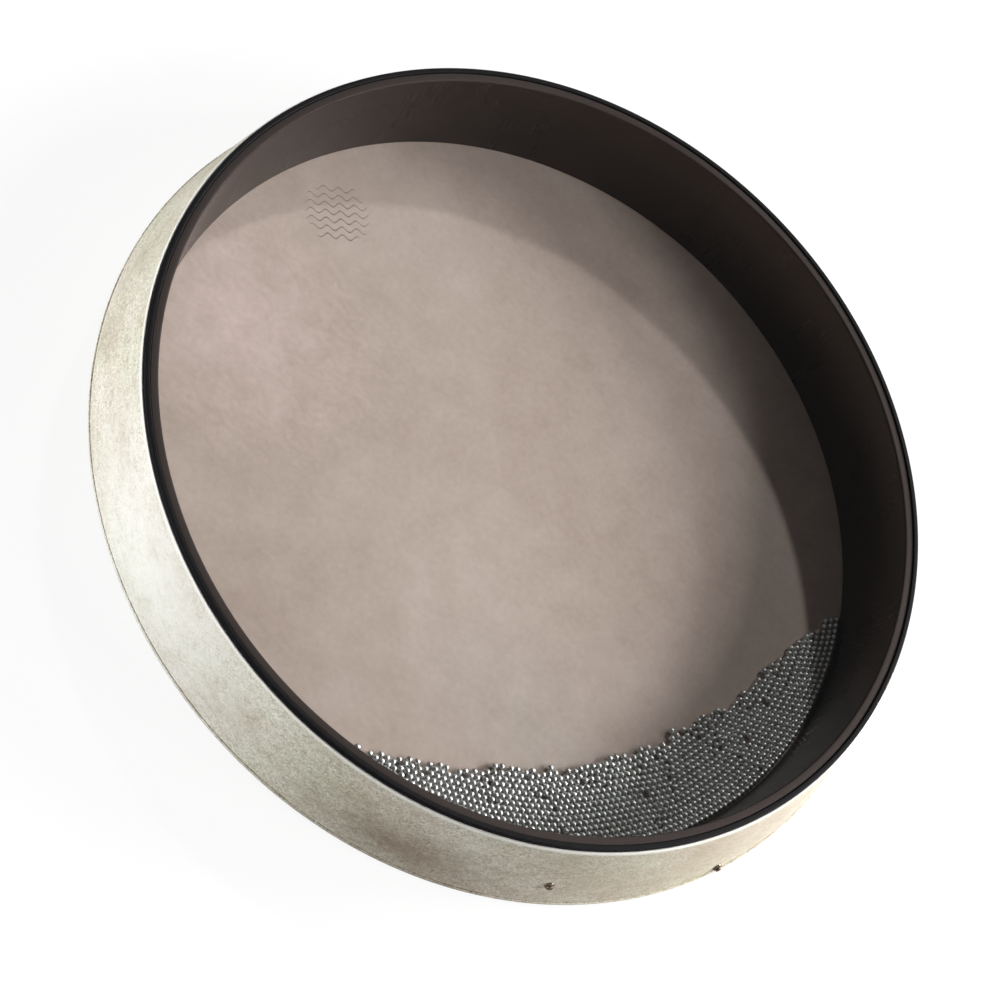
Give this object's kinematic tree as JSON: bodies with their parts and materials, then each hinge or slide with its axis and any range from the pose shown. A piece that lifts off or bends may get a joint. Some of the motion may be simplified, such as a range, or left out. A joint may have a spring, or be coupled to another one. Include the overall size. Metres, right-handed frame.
{
  "type": "ocean drum",
  "caption": "Shallow round frame drum with an opaque skin head, a clear film head and loose steel beads shut in between them.",
  "frame": {"origin": "middle of the back head's underside, on the surface the drum lies on", "axes": "+Z along the drum's axis, from the skin head to the clear film head; the middle of the bead bed lies 27.4 degrees clockwise from +X seen from above, and the two screws lie at -45.1 and -18.1 degrees"},
  "size_m": [0.5588, 0.5588, 0.07],
  "materials": {
    "black_fibre": "black-brown lacquered wood fibre, satin",
    "black_trim": "satin black binding",
    "cream_skin": "mottled cream fibre-skin laminate",
    "head_skin": "fine mottled taupe fibre-skin laminate",
    "clear_film": "clear polyester film",
    "steel_beads": "bright steel shot",
    "dark_steel": "dark bronzed steel"
  },
  "bodies": {
    "drum": {"shell_hoop": "black_fibre", "back_hoop": "black_fibre", "film_hoop": "black_trim", "side_cover": "cream_skin", "back_head": "head_skin", "back_head_collar": "cream_skin", "front_film": "clear_film", "screw_1": "dark_steel", "screw_washer_1": "dark_steel", "screw_2": "dark_steel", "screw_washer_2": "dark_steel"},
    "bead_bed": {"bead_bed": "steel_beads"},
    "bead_wave": {"bead_wave": "steel_beads"},
    "bead_crest": {"bead_crest": "steel_beads"}
  },
  "joints": [
    {"name": "bead_sweep", "type": "hinge", "parent": "drum", "child": "bead_bed", "pos_m": [0, 0, 0.0033], "axis": [0, 0, 1], "continuous": true},
    {"name": "bead_wave_roll", "type": "slide", "parent": "bead_bed", "child": "bead_wave", "axis": [-0.8878, 0.4602, 0], "range_m": [0, 0.24]},
    {"name": "bead_crest_hop", "type": "slide", "parent": "bead_wave", "child": "bead_crest", "axis": [0, 0, 1], "range_m": [0, 0.0635]}
  ]
}
